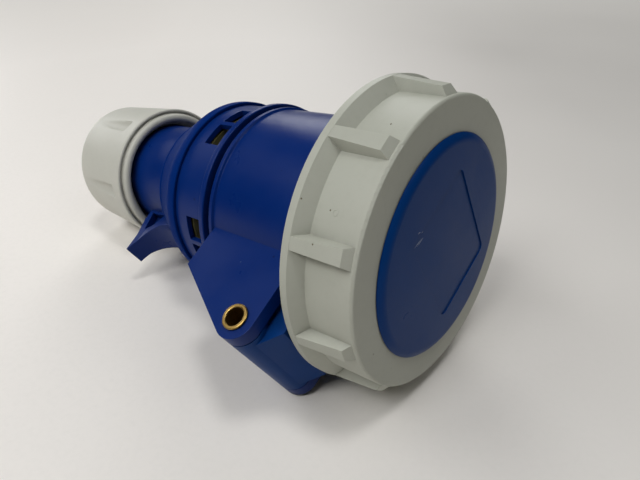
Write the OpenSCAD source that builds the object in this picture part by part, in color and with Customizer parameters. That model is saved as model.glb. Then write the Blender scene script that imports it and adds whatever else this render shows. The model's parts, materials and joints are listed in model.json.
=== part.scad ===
// Three-pole cable coupler with a hinged lid, a twist-lock lid ring and a twist-on rear housing.
// Millimetres. Each piece is drawn upright on the coupler's own axis: the front end up, the mouth
// of the front housing at z = 0 and the lid hinge on the +X side. lay_down() then turns the whole
// coupler on its side, as it rests on a table. The origin is the centre of the mouth.

/* [Front housing] */
// Radius of the mouth bore that takes the plug's shroud
mouth_r = 32.2; // [31.6:0.1:32.8]
// Wall of the front housing round the mouth bore
housing_wall = 3.2; // [2.8:0.1:3.6]
// Length of the front housing from its mouth to its rear rim
housing_l = 59.2; // [58:0.1:62]
// Depth of the space for the plug's shroud
shroud_depth = 46; // [42:0.5:47]
// Wall of the mouth collar inside the lid ring
collar_wall = 2.4; // [2:0.1:2.6]
// Length of the mouth collar
collar_l = 14; // [13:0.5:15]
// Thickness of the shelf that carries the contact insert
shelf_t = 3; // [2.5:0.1:3.5]
// Height of the raised bead round the rear rim
bead_h = 0.8; // [0.4:0.1:1.2]
// Width of the raised bead round the rear rim
bead_w = 1.8; // [1.2:0.1:2.4]
// Step in from the housing to the neck that plugs into the rear housing
neck_step = 4.4; // [4:0.1:4.8]
// Length of the neck
neck_l = 13.3; // [12.8:0.1:14]
// Wall of the neck
neck_wall = 3; // [2.4:0.1:3.2]
// Width of the keyway in the mouth
key_w = 8; // [6:0.5:10]
// Depth of the keyway in the mouth
key_depth = 1.2; // [0.8:0.1:1.4]

/* [Lid bayonet] */
// Height of the lugs over the mouth collar
lug_reach = 5.9; // [5.4:0.1:6.2]
// Distance from the mouth back to the lugs on the collar
lug_setback = 4.8; // [4:0.1:5]
// Thickness of the collar lugs along the axis
lug_h = 3.8; // [3.2:0.1:4]
// Arc that a collar lug or a ring ramp covers, in degrees
lug_arc = 30; // [24:1:34]
// Radial overlap of the ring ramps and the collar lugs
lug_bite = 3; // [2:0.1:3.2]
// Turn of the lid ring from free to locked, in degrees
ring_turn = 45; // [40:1:50]

/* [Hinge] */
// Distance of the hinge pin outside the ring's flange
pin_margin = 2.2; // [1.8:0.1:2.6]
// Distance of the hinge pin behind the lid ring
pin_drop = 12.9; // [12.4:0.1:13.6]
// Radius of the ear ends and of the lid's hinge barrel
ear_r = 6.9; // [6.7:0.1:7.4]
// Thickness of each hinge ear
ear_t = 4.8; // [4:0.1:5.4]
// Width of the hinge over both ears
hinge_w = 45; // [43:0.5:47]
// Distance from the ears' rear edge to the housing's rear rim
ear_inset = 2.6; // [2:0.1:4]
// Height of the ears' rear corner over the housing
ear_rise = 7.4; // [6:0.1:9]
// Outer radius of the tubular rivet
rivet_r = 3.6; // [3.2:0.1:3.8]
// Wall of the tubular rivet
rivet_wall = 0.6; // [0.5:0.1:0.9]
// Reach of the rivet's rolled ends past its tube
rivet_lip = 0.6; // [0.5:0.1:0.9]
// Running clearance on the rivet
pin_clear = 0.06; // [0.03:0.01:0.09]
// Wire diameter of the lid spring
spring_wire = 1.1; // [0.9:0.05:1.2]
// Turns of the lid spring
spring_turns = 9; // [7:1:10]

/* [Lid] */
// Height of the lid face over the ring
lid_proud = 1.6; // [1.2:0.1:2]
// Radius of the soft edge of the lid face
lid_edge = 3.6; // [2:0.1:5]
// Thickness of the lid's skin
lid_skin = 2.4; // [2:0.1:2.8]
// Thickness of the lid plate behind the ring
lid_plate_t = 3.45; // [3.2:0.05:4]
// Length of the plain panel on the lid face
panel_l = 40; // [32:0.5:42]
// Width of the plain panel on the lid face
panel_w = 29.5; // [24:0.5:34]
// Depth of the plain panel on the lid face
panel_depth = 0.4; // [0.2:0.1:0.6]
// Corner radius of the plain panel
panel_corner = 2.5; // [1.5:0.5:4]
// Shift of the plain panel away from the hinge
panel_shift = 2.5; // [0:0.5:4]
// Shift of the plain panel along the hinge
panel_side = 1; // [0:0.5:2]
// Reach of the lid seal inside the mouth bore
seal_in_lap = 1.4; // [1:0.1:2]
// Reach of the lid seal outside the mouth collar
seal_out_lap = 2.6; // [2:0.1:3]
// Thickness of the lid seal
lid_seal_t = 3.2; // [2.8:0.1:3.4]
// Depth of the lid seal's groove
lid_groove = 1.1; // [0.8:0.1:1.3]

/* [Lid ring] */
// Width of the ring's flat front face
ring_face_w = 10.1; // [9.6:0.1:10.6]
// Depth of the lid ring along the axis
ring_l = 21; // [20.6:0.1:22]
// Side wall of the lid ring
ring_wall = 3; // [2.6:0.1:3.2]
// Front wall of the lid ring
ring_front_t = 3; // [2.6:0.1:3.4]
// Rounding of the ring's front edge
ring_edge = 0.9; // [0.6:0.1:1]
// Height of the ring's rear flange over its side wall
flange_h = 4.2; // [3.8:0.1:4.6]
// Thickness of the flange's rim
flange_t = 2.4; // [2:0.1:2.8]
// Length of the slope from the flange to the side wall
flange_slope = 3.2; // [2.6:0.1:3.8]
// Number of grip ribs
rib_count = 10; // [8:1:12]
// Angle of the first grip rib from the hinge, in degrees
rib_phase = 21; // [0:1:36]
// Width of a grip rib at its top
rib_top_w = 3.6; // [3:0.1:4.4]
// Width of a grip rib at its foot
rib_foot_w = 6; // [5:0.1:7]
// Height of a grip rib over the side wall at its front end
rib_front_h = 2.4; // [1.8:0.1:3]
// Distance from the ring's front to the front end of a rib's top
rib_setback = 3; // [2.4:0.1:4]

/* [Rear housing] */
// Open gap between the two housings
housing_gap = 1.9; // [1.4:0.1:2.4]
// Room between the neck and the windowed sleeve for the lock lugs
sleeve_gap = 2.2; // [2:0.1:2.6]
// Wall of the sleeve and the cone
rear_wall = 2; // [1.8:0.1:2.4]
// Thickness of the shoulder that backs the housing seal
shoulder_t = 6.1; // [5:0.1:7]
// Height of the sleeve's front rim
front_rim_h = 1.9; // [1.4:0.1:2.2]
// Width of the sleeve's front rim
front_rim_w = 2.2; // [1.8:0.1:2.6]
// Height of the sleeve's rear rim
rear_rim_h = 1; // [0.6:0.1:1.4]
// Width of the sleeve's rear rim
rear_rim_w = 2.2; // [1.8:0.1:2.6]
// Angles of the window pairs from the hinge, in degrees
window_angles = [23.5, 100.5];
// Arc of one window, in degrees
window_arc = 15; // [10:1:16]
// Arc of the bar between the two windows of a pair, in degrees
window_bar = 3; // [2:0.5:5]
// Length of a window along the axis
window_l = 8; // [6:0.5:9]
// Turn of the rear housing from locked to free, in degrees
housing_turn = 30; // [25:1:32]
// Step in from the sleeve to the cone
cone_step = 1.8; // [1.4:0.1:2.4]
// Length of the cone with the band at its small end
cone_l = 24; // [20:0.5:28]
// Length of that band
cone_band = 9; // [6:0.5:10]
// Step from that band to the cable tube
band_step = 0.8; // [0.5:0.1:1.2]
// Wall of the cable tube
tube_wall = 4.2; // [3.6:0.1:4.6]
// Height of the grip wing over the cable tube
wing_reach = 20.8; // [18:0.1:22]
// Width of the grip wing's tip
wing_tip_w = 9.6; // [8:0.1:11]
// Width of the grip wing's foot at the sleeve
wing_foot_w = 28.5; // [26:0.5:32]
// Radius of the grip wing's scooped front
wing_scoop = 20; // [18:0.1:22]
// Depth of the scooped front below the cone's large end
wing_dip = 4.9; // [4:0.1:6]
// Thickness of the web left between the pockets in the wing's flanks
wing_web = 3; // [2.4:0.1:4]

/* [Cable gland] */
// Largest cable radius that the gland seal takes
seal_bore = 10.5; // [9.5:0.1:11]
// Wall of the gland seal
seal_wall = 7.8; // [7.2:0.1:8.2]
// Length of the gland seal
seal_l = 20; // [18:0.5:21]
// Length of cable tube in view between the cone and the nut
nut_gap = 20.4; // [19:0.1:22]
// Length of cable tube inside the nut
nut_grip = 22.6; // [20:0.1:24]
// Wall of the gland nut at its front
nut_wall = 6.9; // [6.4:0.1:7.4]
// Taper of the nut's radius from front to rear
nut_draft = 2.1; // [1:0.1:3]
// Length of the gland nut
nut_l = 46; // [44:0.5:48]
// Rounding of the nut's rear edge
nut_round = 7; // [5:0.5:8]
// Thickness of the nut's rear wall
nut_end_wall = 5.8; // [5:0.1:6.6]
// Number of grip flutes round the nut
flute_count = 6; // [4:1:8]
// Depth of a grip flute
flute_depth = 1.3; // [0.8:0.1:1.5]
// Distance from the nut's front to the front end of a grip flute
flute_start = 9.5; // [8:0.5:14]
// Radius of the round bead on the nut's front
nut_bead = 1.9; // [1.5:0.1:2.2]
// Lead of the gland thread
thread_lead = 2; // [1.5:0.5:2]
// Turns that the nut tightens
nut_turns = 2; // [1:1:2]
// Number of fingers on the clamp cage
finger_count = 8; // [6:1:10]
// Length of the fingers on the clamp cage
finger_l = 11.5; // [10:0.5:12]

/* [Contacts] */
// Width of the space for the plug's shroud round the contact insert
shroud_gap = 7.2; // [6.8:0.1:7.6]
// Distance of the contacts inside the insert's rim
contact_inset = 9.5; // [9:0.1:9.8]
// Bore radius of the line and neutral contacts
live_bore = 3.05; // [3.02:0.01:3.08]
// Bore radius of the earth contact
earth_bore = 4.05; // [4.02:0.01:4.08]
// Wall of a contact sleeve
contact_wall = 1.55; // [1.4:0.05:1.6]
// Distance from the mouth to the face of the insert
insert_setback = 4; // [3:0.5:6]
// Depth of the plug pins in the contacts
contact_depth = 28; // [24:1:29]
// Length of a contact's screw terminal
terminal_l = 14; // [12:0.5:15]

/* [Hidden] */
$fn = 96;
big = 200;
// Clearances between pieces
slip = 0.3;
face_gap = 0.15;
seat_gap = 0.05;

// Radii of the front housing, the lid ring and the lid
housing_r = mouth_r + housing_wall;
collar_r = mouth_r + collar_wall;
lug_r = collar_r + lug_reach;
ramp_r = lug_r - lug_bite;
ring_in_r = lug_r + 1.5;
ring_r = ring_in_r + ring_wall;
ring_root_r = ring_r + 0.4;
flange_r = ring_r + flange_h;
lid_r = ring_r - ring_face_w;
lid_neck_r = lid_r - 1.5;
ring_hole_r = lid_neck_r + slip;
lid_plate_r = ring_in_r - 1.2;
lid_seal_in = mouth_r - seal_in_lap;
lid_seal_out = collar_r + seal_out_lap;
tongue_out = ring_in_r - 0.8;
tongue_in = tongue_out - 3.6;

// Lid and ring stations along the axis
seal_lift = slip;
z_plate_back = seal_lift + lid_seal_t - lid_groove;
z_plate_front = z_plate_back + lid_plate_t;
z_ring_in = z_plate_front + face_gap;
z_ring_front = z_ring_in + ring_front_t;
z_ring_back = z_ring_front - ring_l;
z_lid_lip = z_ring_front + face_gap;
z_lid_face = z_ring_front + lid_proud;
lid_edge_h = lid_proud - 2 * face_gap;
lid_edge_w = sqrt(lid_edge_h * (2 * lid_edge - lid_edge_h));
z_lug_back = -lug_setback - lug_h;
ramp_gap = 0.6;
flange_front = z_ring_back + flange_t;
slope_front = flange_front + flange_slope;
lug_angles = [90, 270];

// Hinge stations
pin_offset = flange_r + pin_margin;
pin_z = z_ring_back - pin_drop;
ear_in = hinge_w / 2 - ear_t;
ear_back = housing_l - ear_inset;
ear_corner = housing_r + ear_rise;
ear_front_z = pin_z + ear_r;
barrel_half = ear_in - slip;
tongue_half = barrel_half - 2;
web_top = z_ring_back - 0.6;
rivet_bore = rivet_r - rivet_wall;
rivet_end_r = rivet_r + rivet_lip;
rivet_end_t = 0.8;
spring_r = rivet_r + 2 * slip + spring_wire / 2;
spring_pocket_r = spring_r + spring_wire / 2 + slip;
spring_pitch = spring_wire + 0.2;
spring_half = spring_turns * spring_pitch / 2;
pocket_half = spring_half + spring_wire;

// Stations of the housings along the axis, and their radii
z_shelf = -shroud_depth;
z_shelf_back = z_shelf - shelf_t;
z_rim = -housing_l;
z_neck_end = z_rim - neck_l;
neck_r = housing_r - neck_step;
cavity_r = neck_r - neck_wall;
z_sleeve = z_rim - housing_gap;
sleeve_in = neck_r + sleeve_gap;
sleeve_r = sleeve_in + rear_wall;
front_rim_r = sleeve_r + front_rim_h;
rear_rim_r = sleeve_r + rear_rim_h;
neck_lug_r = sleeve_in - slip;
sleeve_lug_r = neck_r + slip;
sleeve_lug_z = z_sleeve - 1.1;
sleeve_lug_h = 2.6;
neck_lug_h = 3.2;
lock_arc = 0.4 * housing_turn;
housing_seal_t = 3.4;
z_shoulder = z_neck_end - housing_seal_t - 2 * slip;
z_sleeve_end = z_shoulder - shoulder_t;
z_window = sleeve_lug_z - sleeve_lug_h - 0.2;
cone_r = sleeve_r - cone_step;
z_cone_end = z_sleeve_end - cone_l;

// Gland stations along the axis, and its radii
seal_r = seal_bore + seal_wall;
tube_bore = seal_r + slip;
tube_r = tube_bore + tube_wall;
cable_hole = seal_bore + 2.5;
z_nut = z_cone_end - nut_gap;
z_tube_end = z_nut - nut_grip;
z_nut_end = z_nut - nut_l;
z_nut_wall = z_nut_end + nut_end_wall;
thrust_t = 2.6;
cage_base_t = 3;
z_thrust = z_nut_wall + face_gap;
z_cage = z_thrust + thrust_t + seat_gap;
nut_travel = nut_turns * thread_lead;
z_seal_end = z_cage + cage_base_t + finger_l + nut_travel + 1;
z_seal = z_seal_end + seal_l;
seal_seat_t = 3;
nut_bore = tube_r + slip;
nut_r = nut_bore + nut_wall;
nut_rear_r = nut_r - nut_draft;
nut_taper = atan2(nut_draft, nut_l - nut_round);
nut_mouth_r = nut_bore + 1.8;
nut_bead_r = nut_mouth_r + nut_bead - slip;
flute_r = 4.5;
flute_slope = 3;
flute_phase = 28;
wing_tip = tube_r + wing_reach;
wing_waist = cone_r - wing_dip;
wing_back = z_nut + nut_travel + 2;
wing_tip_z = wing_back + 4;

// Contact stations along the axis, and their radii
insert_r = mouth_r - shroud_gap;
contact_circle = insert_r - contact_inset;
shelf_hole = insert_r - 1.6;
boss_r = shelf_hole - slip;
z_boss_end = z_shelf_back - 3;
z_insert = -insert_setback;
z_contact = z_insert - 6.5;
contact_collar = 1.3;
contact_collar_t = 2;
back_t = 4;
z_back_end = z_boss_end - seat_gap - back_t;
z_terminal_end = z_back_end - terminal_l;
back_r = cavity_r - 1;
insert_screw_r = 2;
insert_screw_grip = 8;
contact_angles = [60, -60, 180];
contact_bores = [live_bore, live_bore, earth_bore];
contact_lift = 0.9;

// Angles at which the coupler rests on its flange, its gland nut and its far hinge ear
nut_round_z = z_nut_end + nut_round;
nut_round_r = nut_rear_r - nut_round;
rest_reach = norm([z_ring_back - nut_round_z, flange_r - nut_round_r]);
tilt = atan2(flange_r - nut_round_r, z_ring_back - nut_round_z) - asin(nut_round / rest_reach);
function ear_drop(roll) = pin_z * sin(tilt)
    - cos(tilt) * (pin_offset * sin(roll) + hinge_w / 2 * cos(roll))
    - ear_r * sqrt(1 - pow(cos(tilt) * cos(roll), 2));
flange_drop = z_ring_back * sin(tilt) - flange_r * cos(tilt);
function rest_roll(low, high, steps) = steps == 0 ? (low + high) / 2
    : let (mid = (low + high) / 2)
      ear_drop(mid) > flange_drop ? rest_roll(mid, high, steps - 1) : rest_roll(low, mid, steps - 1);
roll = rest_roll(5, 50, 30);

housing_blue = "#1f3f95";
light_grey = "#c9c8be";
brass = "#b08a3c";

// Turns the upright coupler on its side, resting as it would on a table
module lay_down() rotate([0, 90 - tilt, 0]) rotate([0, 0, roll - 90]) children();

// A ring of rectangular section round the coupler axis
module band(r_in, r_out, z_low, z_high) rotate_extrude()
    translate([r_in, z_low]) square([r_out - r_in, z_high - z_low]);

// A piece of such a ring, centred on an angle
module arc_band(r_in, r_out, z_low, z_high, centre, arc) rotate([0, 0, centre - arc / 2])
    rotate_extrude(angle = arc) translate([r_in, z_low]) square([r_out - r_in, z_high - z_low]);

// A plate across the hinge: its outline is drawn in X and Z, from y_low to y_high
module cross_plate(y_low, y_high) translate([0, y_high, 0]) rotate([90, 0, 0])
    linear_extrude(y_high - y_low) children();

// A round bar along the hinge pin
module pin_bar(r, y_low, y_high) translate([pin_offset, y_high, pin_z]) rotate([90, 0, 0])
    cylinder(r = r, h = y_high - y_low);

// Outline of a hinge ear, with a round end on the pin and a sloped back
module ear_outline() {
    corner = [ear_corner, -ear_back];
    pin = [pin_offset, pin_z];
    reach = corner - pin;
    touch = atan2(reach[1], reach[0]) + acos(ear_r / norm(reach));
    root = mouth_r / 2;
    translate(pin) circle(ear_r);
    polygon([[root, ear_front_z], [pin_offset, ear_front_z], pin,
        pin + ear_r * [cos(touch), sin(touch)], corner, [root, -ear_back]]);
}

module housing_shell() difference() {
    union() {
        rotate_extrude() polygon([[0, 0], [collar_r - 0.6, 0], [collar_r, -0.6], [collar_r, -collar_l],
            [housing_r, -collar_l - 1.2], [housing_r, z_rim + bead_w + 0.5],
            [housing_r + bead_h, z_rim + bead_w], [housing_r + bead_h, z_rim + 0.3],
            [housing_r + bead_h - 0.3, z_rim], [neck_r, z_rim], [neck_r, z_neck_end + 0.8],
            [neck_r - 0.8, z_neck_end], [0, z_neck_end]]);
        for (side = [-1, 1])
            cross_plate(side * (ear_in + ear_t / 2) - ear_t / 2, side * (ear_in + ear_t / 2) + ear_t / 2)
                ear_outline();
    }
    rotate_extrude() polygon([[0, 1], [mouth_r + 0.8, 1], [mouth_r + 0.8, 0], [mouth_r, -0.8],
        [mouth_r, z_shelf], [shelf_hole, z_shelf], [shelf_hole, z_shelf_back],
        [cavity_r, z_shelf_back], [cavity_r, z_neck_end - 1], [0, z_neck_end - 1]]);
}

module front_housing() color(housing_blue) lay_down() difference() {
    union() {
        housing_shell();
        for (a = lug_angles) arc_band(collar_r - 1, lug_r, z_lug_back, -lug_setback, a, lug_arc);
        for (a = window_angles, side = [-1, 1])
            arc_band(neck_r - 1, neck_lug_r, sleeve_lug_z - sleeve_lug_h - slip - neck_lug_h,
                sleeve_lug_z - sleeve_lug_h - slip, side * a, lock_arc);
    }
    pin_bar(rivet_r + seat_gap, -hinge_w, hinge_w);
    translate([-mouth_r - key_depth, -key_w / 2, z_shelf]) cube([mouth_r, key_w, big]);
}

// Place of one contact in the insert
module at_contact(i) rotate([0, 0, contact_angles[i]]) translate([contact_circle, 0, 0]) children();

// Stepped hole in the insert for one contact and its spring clip
module contact_pocket(bore) {
    sleeve = bore + contact_wall;
    translate([0, 0, z_contact]) cylinder(r = bore + 0.35, h = big);
    translate([0, 0, z_boss_end - 1]) {
        cylinder(r = sleeve + contact_lift + slip, h = z_contact + slip - z_boss_end + 1);
        cylinder(r = sleeve + contact_collar + seat_gap, h = contact_collar_t + 1 + seat_gap);
    }
}

module contact_insert() color("#3b3d42") lay_down() difference() {
    rotate_extrude() polygon([[0, z_boss_end], [boss_r, z_boss_end], [boss_r, z_shelf + seat_gap],
        [insert_r, z_shelf + seat_gap], [insert_r, z_insert - 1], [insert_r - 1, z_insert], [0, z_insert]]);
    for (i = [0 : 2]) at_contact(i) contact_pocket(contact_bores[i]);
    translate([0, 0, z_boss_end - 1]) cylinder(r = insert_screw_r + seat_gap, h = insert_screw_grip + 4);
}

module insert_back() color("#8a8c8a") lay_down() difference() {
    rotate_extrude() polygon([[0, z_back_end], [back_r - 1, z_back_end], [back_r, z_back_end + 1],
        [back_r, z_shelf_back - seat_gap], [boss_r + slip, z_shelf_back - seat_gap],
        [boss_r + slip, z_boss_end - seat_gap], [0, z_boss_end - seat_gap]]);
    for (i = [0 : 2]) at_contact(i) translate([0, 0, z_back_end - 1])
        cylinder(r = contact_bores[i] + contact_wall + slip, h = back_t + 2);
    translate([0, 0, z_back_end - 1]) cylinder(r = insert_screw_r + seat_gap, h = back_t + 2);
}

module insert_screw() color("#b9bcc0") lay_down() difference() {
    union() {
        translate([0, 0, z_back_end]) cylinder(r = insert_screw_r, h = back_t + insert_screw_grip);
        translate([0, 0, z_back_end - 2.8]) cylinder(r = 3.6, h = 2.8 - seat_gap);
        translate([0, 0, z_back_end - 1]) cylinder(r = insert_screw_r, h = 2);
    }
    translate([-0.5, -5, z_back_end - 2.8 - 1]) cube([1, 10, 2.2]);
}

// A slotted socket sleeve with a locating collar and a screw terminal behind
module contact(bore) {
    sleeve = bore + contact_wall;
    terminal_mid = z_back_end - terminal_l / 2;
    difference() {
        union() {
            translate([0, 0, z_terminal_end]) cylinder(r = sleeve, h = z_contact - z_terminal_end);
            translate([0, 0, z_boss_end]) cylinder(r = sleeve + contact_collar, h = contact_collar_t);
        }
        translate([0, 0, z_contact - contact_depth]) cylinder(r = bore, h = contact_depth + 1);
        translate([-0.4, -sleeve - 1, z_contact - contact_depth * 0.7])
            cube([0.8, 2 * sleeve + 2, contact_depth]);
        translate([0, 0, z_terminal_end - 1]) cylinder(r = bore, h = terminal_l + 1);
        for (dz = [-1, 1]) translate([0, 0, terminal_mid + dz * terminal_l / 4]) rotate([0, 90, 0])
            cylinder(r = 2 + seat_gap, h = sleeve + 2);
    }
}

module contact_line() color(brass) lay_down() at_contact(0) contact(contact_bores[0]);

module contact_neutral() color(brass) lay_down() at_contact(1) contact(contact_bores[1]);

module contact_earth() color(brass) lay_down() at_contact(2) contact(contact_bores[2]);

module spring_clip(bore) rotate_extrude()
    translate([bore + contact_wall + 0.42, z_contact - 4]) circle(0.4, $fn = 24);

module contact_springs() color("#c4c6c8") lay_down()
    for (i = [0 : 2]) at_contact(i) spring_clip(contact_bores[i]);

// A slotted terminal screw that points at the contact's wire hole
module terminal_pair(bore) {
    sleeve = bore + contact_wall;
    terminal_mid = z_back_end - terminal_l / 2;
    for (dz = [-1, 1]) translate([0, 0, terminal_mid + dz * terminal_l / 4]) rotate([0, 90, 0])
        difference() {
            union() {
                translate([0, 0, bore - 1]) cylinder(r = 2, h = sleeve - bore + 2);
                translate([0, 0, sleeve + seat_gap]) cylinder(r = 3, h = 2.2);
            }
            translate([-4, -0.4, sleeve + 1.2]) cube([8, 0.8, 2]);
        }
}

module terminal_screws() color("#b9bcc0") lay_down()
    for (i = [0 : 2]) at_contact(i) terminal_pair(contact_bores[i]);

module hinge_rivet() color(brass) lay_down() translate([pin_offset, 0, pin_z]) rotate([90, 0, 0]) {
    half = hinge_w / 2 + seat_gap;
    rotate_extrude() {
        translate([rivet_bore, -half - rivet_end_t / 2])
            square([rivet_r - rivet_bore, 2 * half + rivet_end_t]);
        for (side = [-1, 1]) {
            translate([rivet_bore + 0.4, side * (half + rivet_end_t / 2) - rivet_end_t / 2])
                square([rivet_end_r - rivet_bore - 0.8, rivet_end_t]);
            for (r = [rivet_bore + rivet_end_t / 2, rivet_end_r - rivet_end_t / 2])
                translate([r, side * (half + rivet_end_t / 2)]) circle(rivet_end_t / 2, $fn = 24);
        }
    }
}

// Path of the lid spring round the pin, with a leg on the housing and a leg on the lid
function spring_turn_point(a) = [spring_r * cos(a), spring_r * sin(a),
    -spring_half + a / 360 * spring_pitch];
spring_steps = 18;
spring_leg = pin_offset - housing_r - spring_wire / 2 - seat_gap;
spring_path = concat([[-spring_leg, -spring_r, -spring_half]],
    [for (i = [0 : spring_turns * spring_steps]) spring_turn_point(270 + i * 360 / spring_steps)
        - [0, 0, 270 / 360 * spring_pitch]],
    [[-spring_r, -spring_r, spring_half]]);

// A round wire swept along a path; the wire's sections stand on the given axis
module wire(path, d, axis, sides) {
    last = len(path) - 1;
    rings = [for (i = [0 : last])
        let (ahead = path[min(i + 1, last)] - path[max(i - 1, 0)],
             along = ahead / norm(ahead),
             out = cross(along, axis) / norm(cross(along, axis)),
             up = cross(out, along))
        for (k = [0 : sides - 1])
            path[i] + d / 2 * (cos(k * 360 / sides) * out + sin(k * 360 / sides) * up)];
    polyhedron(points = rings, faces = concat(
        [[for (k = [0 : sides - 1]) k]],
        [for (i = [0 : last - 1], k = [0 : sides - 1])
            [i * sides + k, (i + 1) * sides + k, (i + 1) * sides + (k + 1) % sides,
             i * sides + (k + 1) % sides]],
        [[for (k = [sides - 1 : -1 : 0]) last * sides + k]]));
}

module hinge_spring() color("#c4c6c8") lay_down() translate([pin_offset, 0, pin_z])
    rotate([90, 0, 0]) wire(spring_path, spring_wire, [0, 0, 1], 6);

module housing_seal() color("#6d6a3c") lay_down()
    band(cavity_r, neck_lug_r - 0.4, z_shoulder + slip, z_shoulder + slip + housing_seal_t);

// Rounded rectangle made of two bars and four corner discs
module round_panel(l, w, corner) {
    square([l - 2 * corner, w], center = true);
    square([l, w - 2 * corner], center = true);
    for (x = [-1, 1], y = [-1, 1]) translate([x * (l / 2 - corner), y * (w / 2 - corner)]) circle(corner);
}

module lid_face_profile() {
    polygon([[0, z_plate_back], [lid_plate_r, z_plate_back], [lid_plate_r, z_plate_front],
        [lid_neck_r, z_plate_front], [lid_neck_r, z_lid_lip], [lid_r, z_lid_lip],
        [lid_r, z_lid_face - lid_edge_h], [lid_r - lid_edge_w, z_lid_face - lid_edge_h],
        [lid_r - lid_edge_w, z_lid_face], [0, z_lid_face]]);
    translate([lid_r - lid_edge_w, z_lid_face - lid_edge]) intersection() {
        circle(lid_edge);
        translate([0, lid_edge - lid_edge_h]) square([lid_edge_w, lid_edge_h]);
    }
}

// Outline of the web that ties the lid's tongue to its hinge barrel
module hinge_web_outline() {
    pin = [pin_offset, pin_z];
    polygon([[tongue_in, web_top], [pin_offset - ear_r / 2, web_top],
        pin + ear_r * [cos(60), sin(60)], pin, pin + ear_r * [cos(215), sin(215)],
        [tongue_in, web_top - ear_r / 2]]);
}

module lid() color(housing_blue) lay_down() difference() {
    union() {
        rotate_extrude() lid_face_profile();
        intersection() {
            band(tongue_in, tongue_out, web_top - ear_r / 2, z_plate_back + 1);
            translate([0, -tongue_half, -big / 2]) cube([big, 2 * tongue_half, big]);
        }
        cross_plate(-tongue_half, tongue_half) hinge_web_outline();
        pin_bar(ear_r, -barrel_half, barrel_half);
    }
    translate([0, 0, z_plate_back - 1])
        cylinder(r = lid_seal_in - 2, h = z_lid_face - lid_skin - z_plate_back + 1);
    band(lid_seal_in - slip / 2, lid_seal_out + slip / 2, z_plate_back - 1,
        z_plate_back + lid_groove + seat_gap);
    translate([-panel_shift, panel_side, z_lid_face - panel_depth]) linear_extrude(1)
        round_panel(panel_w, panel_l, panel_corner);
    pin_bar(rivet_r + pin_clear, -hinge_w, hinge_w);
    pin_bar(spring_pocket_r, -pocket_half, pocket_half);
    translate([pin_offset - 2 * ear_r, -pocket_half, pin_z - spring_pocket_r])
        cube([2 * ear_r, 2 * pocket_half, 2 * spring_pocket_r - 1]);
}

module lid_seal() color("#2b2b2b") lay_down()
    band(lid_seal_in, lid_seal_out, seal_lift, seal_lift + lid_seal_t);

module ring_profile() {
    edge_z = z_ring_front - ring_edge;
    polygon([[ring_hole_r, z_ring_in], [ring_hole_r, z_ring_front], [ring_r - ring_edge, z_ring_front],
        [ring_r - ring_edge, edge_z], [ring_r, edge_z], [ring_r, edge_z - 1], [ring_root_r, slope_front],
        [flange_r, flange_front], [flange_r, z_ring_back], [flange_r - 2, z_ring_back],
        [flange_r - 2, flange_front - 0.6], [ring_root_r - 0.6, slope_front - 2.6],
        [ring_root_r - 0.6, z_ring_back], [ring_in_r, z_ring_back], [ring_in_r, z_ring_in]]);
    translate([ring_r - ring_edge, edge_z]) intersection() {
        circle(ring_edge);
        square(ring_edge);
    }
}

// A grip rib with drafted sides, a falling top and a sloped front end
module grip_rib() intersection() {
    translate([0, 0, flange_front - 0.5]) linear_extrude(ring_l)
        polygon([[ring_r - 2, -rib_foot_w / 2], [ring_r, -rib_foot_w / 2], [flange_r, -rib_top_w / 2],
            [flange_r, rib_top_w / 2], [ring_r, rib_foot_w / 2], [ring_r - 2, rib_foot_w / 2]]);
    rotate_extrude() polygon([[ring_r - 1.5, flange_front - 0.5], [flange_r - 0.1, flange_front - 0.5],
        [flange_r - 0.1, flange_front + 0.4], [ring_r + rib_front_h, z_ring_front - rib_setback],
        [ring_r - 1.5, z_ring_front - rib_setback + 0.75 * (rib_front_h + 1.5)]]);
}

module bayonet_ring() color(light_grey) lay_down() {
    rotate_extrude() ring_profile();
    for (i = [0 : rib_count - 1]) rotate([0, 0, rib_phase + i * 360 / rib_count]) grip_rib();
    for (a = lug_angles)
        arc_band(ramp_r, ring_in_r + 1, z_ring_back + 0.2, z_lug_back - ramp_gap, a + ring_turn, lug_arc);
}

module rear_outside() rotate_extrude() polygon([[0, z_sleeve], [front_rim_r - 0.3, z_sleeve],
    [front_rim_r, z_sleeve - 0.3], [front_rim_r, z_sleeve - front_rim_w],
    [sleeve_r, z_sleeve - front_rim_w - 0.6], [sleeve_r, z_sleeve_end + rear_rim_w + 0.5],
    [rear_rim_r, z_sleeve_end + rear_rim_w], [rear_rim_r, z_sleeve_end], [cone_r, z_sleeve_end - 0.4],
    [tube_r + band_step, z_cone_end + cone_band], [tube_r + band_step, z_cone_end],
    [tube_r, z_cone_end - 0.4], [tube_r, z_tube_end + 1], [tube_r - 1, z_tube_end], [0, z_tube_end]]);

module rear_inside() rotate_extrude() polygon([[0, z_sleeve + 1], [sleeve_in, z_sleeve + 1],
    [sleeve_in, z_shoulder], [cavity_r, z_shoulder], [cone_r - 2 * rear_wall, z_sleeve_end],
    [tube_bore, z_cone_end + cone_band], [tube_bore, z_seal + slip + seal_seat_t],
    [cable_hole, z_seal + slip + seal_seat_t], [cable_hole, z_seal + slip], [tube_bore, z_seal + slip],
    [tube_bore, z_tube_end - 1], [0, z_tube_end - 1]]);

// Side view of the grip wing: a horn with an upright back and a scooped front
module wing_outline() {
    scoop_r = wing_waist + wing_scoop;
    front = [scoop_r, wing_tip_z + sqrt(pow(wing_scoop, 2) - pow(scoop_r - wing_tip, 2))];
    difference() {
        polygon([[tube_bore + 1, wing_back], [tube_r + 5, wing_back + 0.5], [wing_tip - 8, wing_tip_z - 1],
            [wing_tip, wing_tip_z - 0.6], [wing_tip, front[1]], [tube_bore + 1, front[1]]]);
        translate(front) circle(wing_scoop);
    }
    translate([tube_bore + 1, front[1] - 1])
        square([wing_waist - tube_bore - 1, z_sleeve_end - front[1]]);
}

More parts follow.
